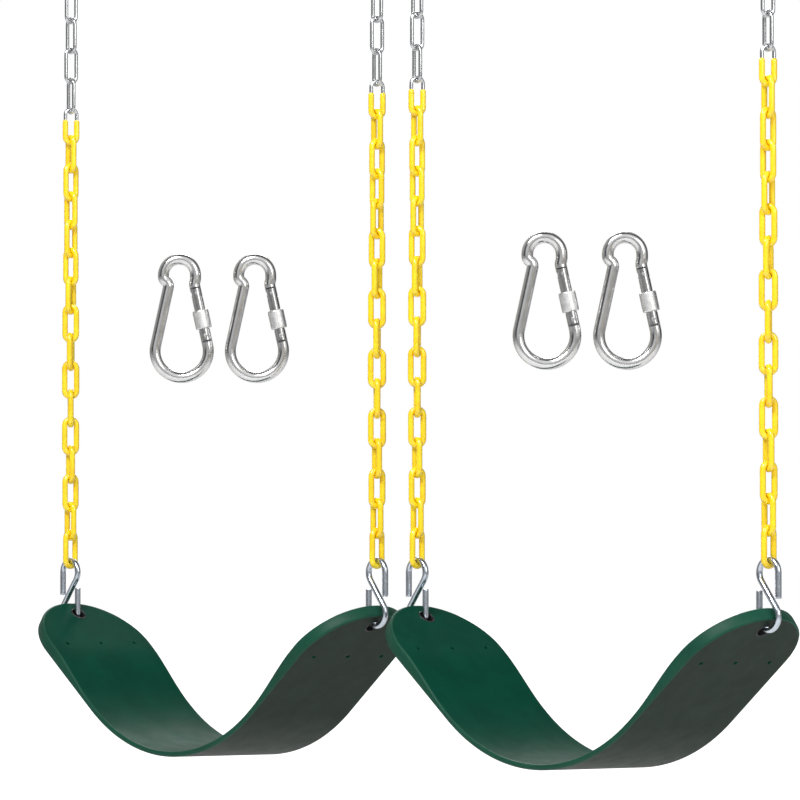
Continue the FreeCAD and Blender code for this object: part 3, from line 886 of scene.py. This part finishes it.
    def rivet(self, up, diameter, name):
        """A pin across the gate with low domed heads."""
        reach, radius = GATE_DIAMETER / 2 - RIVET_SUNK, diameter / 2
        profile = [(radius * cos(t), reach + RIVET_DOME * sin(t))
                   for t in np.linspace(0, pi / 2 * 0.96, DOME_STEPS)]
        profile += [(r, -h) for r, h in reversed(profile)]
        points, faces = lathe(profile, self.on_gate(up), (0, 1, 0), RIVET_SIDES)
        count = len(profile)
        ring_top = [i * count + DOME_STEPS - 1 for i in range(RIVET_SIDES)]
        ring_low = [i * count + DOME_STEPS for i in range(RIVET_SIDES)]
        faces = [f for f in faces if not (set(f) <= set(ring_top) | set(ring_low))]
        faces += [tuple(ring_top[::-1]), tuple(ring_low)]
        return new_object(name, points, faces, PLAIN_STEEL)

    def sleeve_piece(self):
        """The lock sleeve: a diamond knurl between two plain chamfered ends."""
        around, chamfer = SLEEVE_AROUND, SLEEVE_CHAMFER
        radius, bore = SLEEVE_DIAMETER / 2, SLEEVE_BORE / 2
        pitch, shoulder = 2 * pi * radius / KNURL_DIAMONDS, radius - SLEEVE_SHOULDER
        points = []
        for i in range(around):
            angle = 2 * pi * i / around
            column = [(bore, 0.0), (shoulder, 0.0), (radius - chamfer, chamfer)]
            for j in range(SLEEVE_ROWS + 1):
                z = chamfer + (SLEEVE_LENGTH - 2 * chamfer) * j / SLEEVE_ROWS
                edge = min(z, SLEEVE_LENGTH - z)
                fade = min(1.0, max(0.0, (edge - chamfer) / PLAIN_END))
                u, v = KNURL_DIAMONDS * angle / 2, pi * z / pitch
                groove = 1 - min(1.0, 2 * min(abs(sin(u + v)), abs(sin(u - v))))
                column.append((radius - KNURL_DEPTH * groove * fade - END_SUNK * (1 - fade), z))
            column += [(shoulder, SLEEVE_LENGTH), (bore, SLEEVE_LENGTH)]
            across = self.out * cos(angle) + np.array((0.0, sin(angle), 0.0))
            points += [self.on_gate(SLEEVE_ALONG + z) + across * r for r, z in column]
        count, faces = len(points) // around, []
        for i in range(around):
            for j in range(count):
                a, b = i * count + j, i * count + (j + 1) % count
                c, d = (i + 1) % around * count + (j + 1) % count, (i + 1) % around * count + j
                faces.append((a, b, c, d))
        piece = new_object("fine_" + self.prefix + "lock_sleeve", points, faces, KNURL)
        soften(self.place(piece), 60)
        stand_in(piece, self.prefix + "lock_sleeve")


def merge(body, other):
    """Adds another object's mesh and material to the body, and deletes that object."""
    start = len(body.data.materials)
    body.data.materials.append(other.data.materials[0])
    mesh = bmesh.new()
    mesh.from_mesh(body.data)
    before = len(mesh.faces)
    mesh.from_mesh(other.data)
    mesh.faces.ensure_lookup_table()
    for face in mesh.faces[before:]:
        face.material_index = start
    mesh.to_mesh(body.data)
    mesh.free()
    bpy.data.objects.remove(other)


# ---- build ------------------------------------------------------------------
for swing in ("swing_a_", "swing_b_"):
    seat(swing)
    for side, outward in (("left_", -1), ("right_", 1)):
        chain(swing + side)
        s_hook(swing + side, outward)
        recolor(swing + side + "insert_plate", PLAIN_STEEL)
for name in ("a1", "a2", "b1", "b2"):
    carabiner = Carabiner("carabiner_" + name + "_")
    carabiner.frame_piece()
    carabiner.gate_piece()
    carabiner.sleeve_piece()
    recolor("carabiner_" + name + "_gate_spring", PLAIN_STEEL)


# ---- camera -----------------------------------------------------------------
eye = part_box("swing_a_left_yellow_coating")[0].z
data = bpy.data.cameras.new("camera")
data.sensor_width = SENSOR
data.lens = LENS
data.clip_end = 200.0
camera = bpy.data.objects.new("camera", data)
camera.location = (sin(VIEW_TURN) * VIEW_DISTANCE, -cos(VIEW_TURN) * VIEW_DISTANCE, eye)
camera.rotation_euler = (pi / 2 + LOOK_UP, 0.0, VIEW_TURN - LOOK_RIGHT)
bpy.context.scene.collection.objects.link(camera)
bpy.context.scene.camera = camera


# ---- floor, light and background -------------------------------------------
def studio_floor():
    """A pale floor that reaches the horizon, well under the seats."""
    corners = [(x * FLOOR_REACH, y * FLOOR_REACH, -FLOOR_DROP)
               for x, y in ((-1, -1), (1, -1), (1, 1), (-1, 1))]
    made, tree, shader = material("floor", (0.9, 0.9, 0.9), 0.0, 0.8)
    cloudy(tree, shader, 0.6, 2.0, (0.89, 0.89, 0.89), (0.93, 0.93, 0.93))
    shader.inputs["Emission Color"].default_value = (1, 1, 1, 1)
    seen = tree.nodes.new("ShaderNodeLightPath")
    tree.links.new(seen.outputs["Is Camera Ray"], shader.inputs["Emission Strength"])
    new_object("studio_floor", corners, [(0, 1, 2, 3)], made, False)


def lamp(name, place, target, size, power):
    """A soft square lamp aimed at a point."""
    light = bpy.data.lights.new(name, "AREA")
    light.shape, light.size, light.energy = "SQUARE", size, power
    made = bpy.data.objects.new(name, light)
    made.location = place
    made.rotation_euler = (Vector(target) - Vector(place)).to_track_quat("-Z", "Y").to_euler()
    bpy.context.scene.collection.objects.link(made)


def band(tree, source, output, stops):
    """Grey stops over a value from -1 to 1."""
    share = node(tree, "ShaderNodeMapRange")
    share.inputs["From Min"].default_value = -1.0
    tree.links.new(source.outputs[output], share.inputs["Value"])
    return ramp(tree, share, [(place, (grey,) * 3) for place, grey in stops], "Result")


def surroundings():
    """White to the eye and softly banded in reflections, like a lit studio with dark sides."""
    world = bpy.data.worlds.new("studio")
    world.use_nodes = True
    bpy.context.scene.world = world
    tree = world.node_tree
    tree.nodes.clear()
    output = tree.nodes.new("ShaderNodeOutputWorld")
    mix = tree.nodes.new("ShaderNodeMixShader")
    seen, lit = (tree.nodes.new("ShaderNodeBackground") for _ in range(2))
    seen.inputs["Color"].default_value = (1, 1, 1, 1)
    seen.inputs["Strength"].default_value = 1.0
    place = tree.nodes.new("ShaderNodeTexCoord")
    across = node(tree, "ShaderNodeVectorMath", operation="DOT_PRODUCT")
    bright = VIEW_TURN + SOFTBOX_TURN
    across.inputs[1].default_value = (sin(bright), -cos(bright), 0.0)
    tree.links.new(place.outputs["Generated"], across.inputs[0])
    sides = band(tree, across, "Value", SIDE_BANDS)
    split = tree.nodes.new("ShaderNodeSeparateXYZ")
    tree.links.new(place.outputs["Generated"], split.inputs["Vector"])
    heights = band(tree, split, "Z", HEIGHT_BANDS)
    both = node(tree, "ShaderNodeVectorMath", operation="MULTIPLY")
    tree.links.new(sides.outputs["Color"], both.inputs[0])
    tree.links.new(heights.outputs["Color"], both.inputs[1])
    tree.links.new(both.outputs["Vector"], lit.inputs["Color"])
    lit.inputs["Strength"].default_value = STUDIO_STRENGTH
    path = tree.nodes.new("ShaderNodeLightPath")
    tree.links.new(path.outputs["Is Camera Ray"], mix.inputs["Fac"])
    tree.links.new(lit.outputs["Background"], mix.inputs[1])
    tree.links.new(seen.outputs["Background"], mix.inputs[2])
    tree.links.new(mix.outputs["Shader"], output.inputs["Surface"])


studio_floor()
surroundings()
lamp("key", (1.0, -2.6, 3.2), (0, 0, 0.4), 1.6, 130.0)
lamp("fill", (3.4, -0.4, 1.6), (0, 0, 0.3), 1.4, 30.0)
lamp("rim", (-2.6, 2.2, 2.4), (0, 0, 0.4), 1.4, 45.0)
bpy.context.scene.view_settings.view_transform = "Standard"
